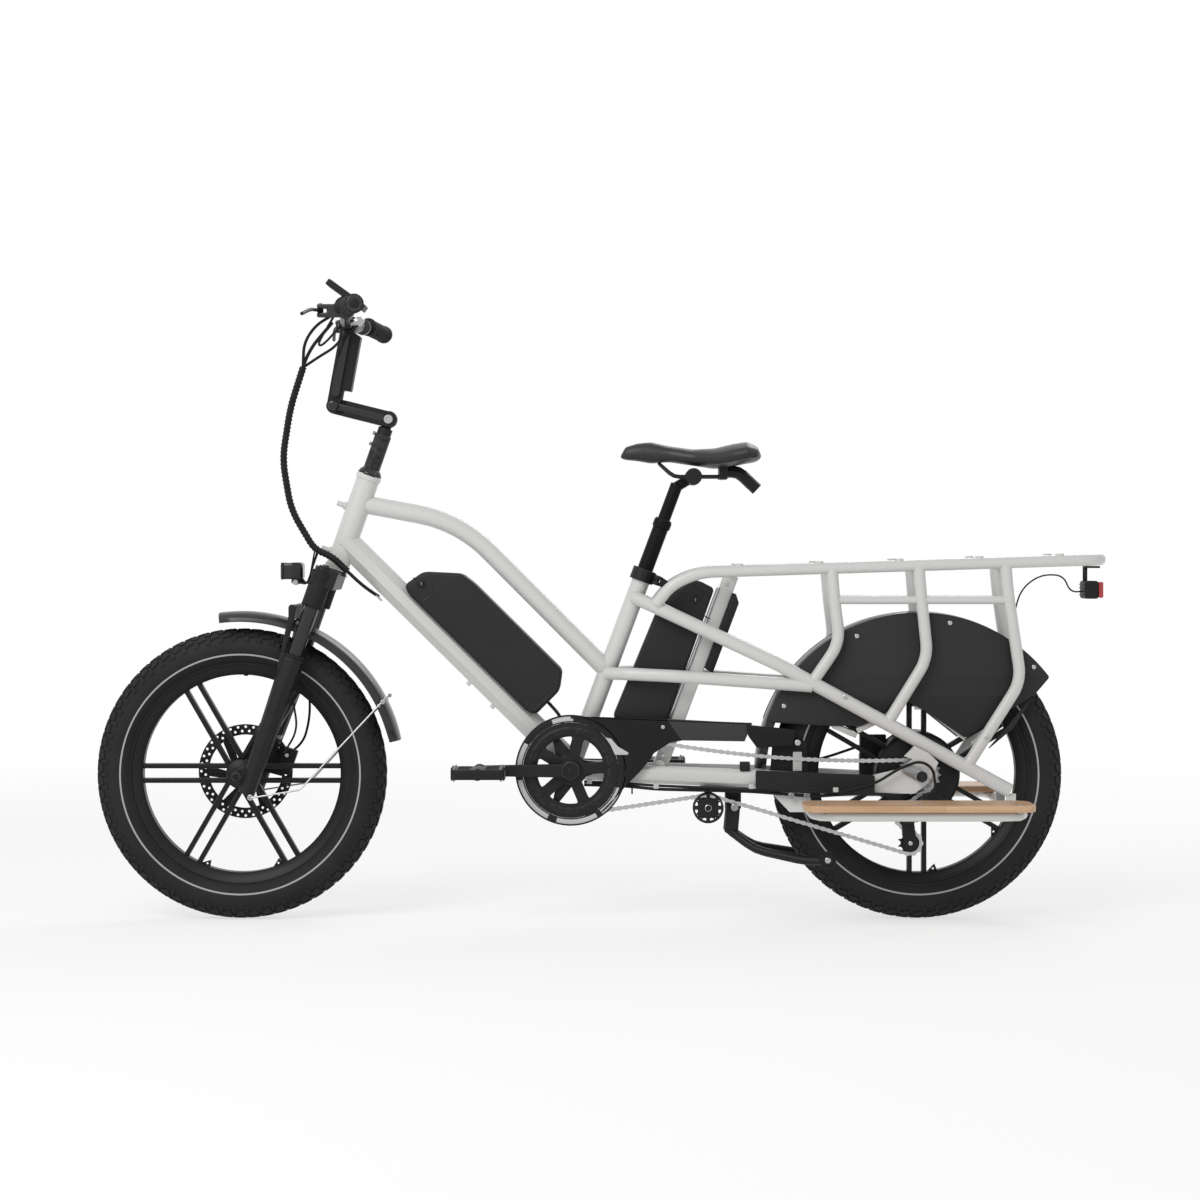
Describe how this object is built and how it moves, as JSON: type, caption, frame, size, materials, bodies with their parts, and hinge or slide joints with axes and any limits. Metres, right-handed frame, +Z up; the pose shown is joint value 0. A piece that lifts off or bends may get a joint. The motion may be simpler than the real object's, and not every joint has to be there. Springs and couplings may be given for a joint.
{
  "type": "longtail cargo bike",
  "caption": "Electric longtail cargo bike with small wheels, a long rear rack, wheel skirts, footboards, two battery cases and a folding handlebar stem.",
  "frame": {"origin": "on the ground, under the middle of the overall length, in the bike's middle plane", "axes": "+Z up, the front wheel towards -X, the chain and cranks' chainring on the -Y side, as in the picture"},
  "size_m": [1.9068, 0.667, 1.2103],
  "materials": {
    "frame_paint": "satin",
    "black_alloy": "satin",
    "black_plastic": "matte",
    "grey_case": "satin",
    "tyre": "matte",
    "steel": "satin",
    "saddle_cover": "satin",
    "bamboo": "satin",
    "lamp": "gloss"
  },
  "bodies": {
    "frame": {"head_tube": "frame_paint", "top_tube": "frame_paint", "down_tube": "frame_paint", "seat_tube": "frame_paint", "side_stay_left": "frame_paint", "side_stay_right": "frame_paint", "chainstay_left": "frame_paint", "chainstay_right": "frame_paint", "battery_rail": "frame_paint", "rack_frame": "frame_paint", "rack_side_left": "frame_paint", "rack_side_right": "frame_paint", "footboard_loop_left": "frame_paint", "footboard_loop_right": "frame_paint", "footboard_left": "bamboo", "footboard_right": "bamboo", "rear_fender": "black_plastic", "wheel_skirt_left": "grey_case", "wheel_skirt_right": "grey_case", "chain_guard": "black_plastic", "tail_light": "lamp", "seat_clamp": "black_alloy", "chain": "steel", "derailleur": "black_alloy", "stand_bracket": "black_alloy", "rear_caliper": "black_alloy", "rear_axle": "steel", "cable_bundle": "black_plastic"},
    "front_battery": {"battery_front": "grey_case"},
    "rear_battery": {"battery_rear": "grey_case"},
    "steering": {"fork_crown": "black_alloy", "stem_post": "black_alloy", "headlight": "lamp"},
    "stem_lower_arm": {"stem_arm": "black_alloy"},
    "stem_upper_arm": {"stem_upper": "black_alloy"},
    "bar": {"handlebar": "black_alloy", "display": "black_plastic"},
    "lever_left": {"brake_lever_left": "black_alloy"},
    "lever_right": {"brake_lever_right": "black_alloy"},
    "lowers": {"fork_lowers": "black_alloy", "front_fender": "black_plastic"},
    "wheel_front": {"front_tyre": "tyre", "front_wheel": "black_alloy", "front_rotor": "steel"},
    "wheel_rear": {"rear_tyre": "tyre", "rear_wheel": "black_alloy", "rear_rotor": "steel"},
    "cranks": {"chainring": "black_alloy", "crank_left": "black_alloy", "crank_right": "black_alloy"},
    "pedal_on_left": {"pedal_left": "black_alloy"},
    "pedal_on_right": {"pedal_right": "black_alloy"},
    "sprockets": {"cassette": "steel"},
    "idler": {"idler_pulley": "black_plastic"},
    "stand": {"kickstand": "black_alloy"},
    "post_outer": {"seatpost_outer": "black_alloy"},
    "post_inner": {"seatpost_inner": "black_alloy"},
    "seat": {"saddle": "saddle_cover", "saddle_rails": "black_alloy"},
    "clamp_lever": {"seat_lever": "black_alloy"}
  },
  "joints": [
    {"name": "steering", "type": "hinge", "parent": "frame", "child": "steering", "pos_m": [-0.5, 0, 0.661], "axis": [0.3305, 0, 0.9438], "range_deg": [-60, 60], "deforming": ["cable_bundle"]},
    {"name": "fork_travel", "type": "slide", "parent": "steering", "child": "lowers", "axis": [0.3305, 0, 0.9438], "range_m": [0, 0.038], "stiffness_N_per_m": 9000, "springref_m": -0.02},
    {"name": "front_wheel_spin", "type": "hinge", "parent": "lowers", "child": "wheel_front", "pos_m": [-0.678, 0, 0.27495], "axis": [0, 1, 0], "continuous": true},
    {"name": "rear_wheel_spin", "type": "hinge", "parent": "frame", "child": "wheel_rear", "pos_m": [0.6, 0, 0.27495], "axis": [0, 1, 0], "continuous": true},
    {"name": "crank_spin", "type": "hinge", "parent": "frame", "child": "cranks", "pos_m": [-0.055, 0, 0.285], "axis": [0, 1, 0], "continuous": true},
    {"name": "pedal_left_spin", "type": "hinge", "parent": "cranks", "child": "pedal_on_left", "pos_m": [-0.225, -0.119, 0.285], "axis": [0, 1, 0], "continuous": true},
    {"name": "pedal_right_spin", "type": "hinge", "parent": "cranks", "child": "pedal_on_right", "pos_m": [0.115, 0.113, 0.285], "axis": [0, 1, 0], "continuous": true},
    {"name": "cassette_spin", "type": "hinge", "parent": "frame", "child": "sprockets", "pos_m": [0.6, -0.052, 0.27495], "axis": [0, 1, 0], "continuous": true},
    {"name": "idler_spin", "type": "hinge", "parent": "frame", "child": "idler", "pos_m": [0.203, -0.052, 0.214], "axis": [0, 1, 0], "continuous": true},
    {"name": "kickstand_fold", "type": "hinge", "parent": "frame", "child": "stand", "pos_m": [0.252, 0, 0.216], "axis": [0, 1, 0], "range_deg": [0, 68]},
    {"name": "stem_lower_fold", "type": "hinge", "parent": "steering", "child": "stem_lower_arm", "pos_m": [-0.40042, 0, 0.94537], "axis": [0, 1, 0], "range_deg": [0, 50]},
    {"name": "stem_upper_fold", "type": "hinge", "parent": "stem_lower_arm", "child": "stem_upper_arm", "pos_m": [-0.50424, 0, 0.97126], "axis": [0, 1, 0], "range_deg": [-45, 15]},
    {"name": "bar_roll", "type": "hinge", "parent": "stem_upper_arm", "child": "bar", "pos_m": [-0.47653, 0, 1.12376], "axis": [0, 1, 0], "range_deg": [-25, 25]},
    {"name": "brake_lever_left_pull", "type": "hinge", "parent": "bar", "child": "lever_left", "pos_m": [-0.51253, -0.168, 1.13576], "axis": [0, 0, 1], "range_deg": [0, 18], "stiffness_Nm_per_rad": 1, "springref_deg": -11.46},
    {"name": "brake_lever_right_pull", "type": "hinge", "parent": "bar", "child": "lever_right", "pos_m": [-0.51253, 0.168, 1.13576], "axis": [0, 0, -1], "range_deg": [0, 18], "stiffness_Nm_per_rad": 1, "springref_deg": -11.46},
    {"name": "seatpost_outer_slide", "type": "slide", "parent": "frame", "child": "post_outer", "axis": [0.3502, 0, 0.9367], "range_m": [-0.08, 0.06]},
    {"name": "seatpost_inner_slide", "type": "slide", "parent": "post_outer", "child": "post_inner", "axis": [0.3502, 0, 0.9367], "range_m": [-0.05, 0.08]},
    {"name": "saddle_tilt", "type": "hinge", "parent": "post_inner", "child": "seat", "pos_m": [0.1769, 0, 0.83672], "axis": [0, 1, 0], "range_deg": [-10, 10]},
    {"name": "seat_lever_turn", "type": "hinge", "parent": "frame", "child": "clamp_lever", "pos_m": [0.10781, -0.035, 0.64049], "axis": [-0.3502, 0, -0.9367], "range_deg": [0, 110]},
    {"name": "battery_front_slide", "type": "slide", "parent": "frame", "child": "front_battery", "axis": [-0.7108, 0, 0.7034], "range_m": [0, 0.06]},
    {"name": "battery_rear_slide", "type": "slide", "parent": "frame", "child": "rear_battery", "axis": [0.3502, 0, 0.9367], "range_m": [0, 0.12]}
  ],
  "couplings": [
    {"joint": "cassette_spin", "follows": "crank_spin", "ratio": 2.8333},
    {"joint": "idler_spin", "follows": "crank_spin", "ratio": -3.617}
  ]
}
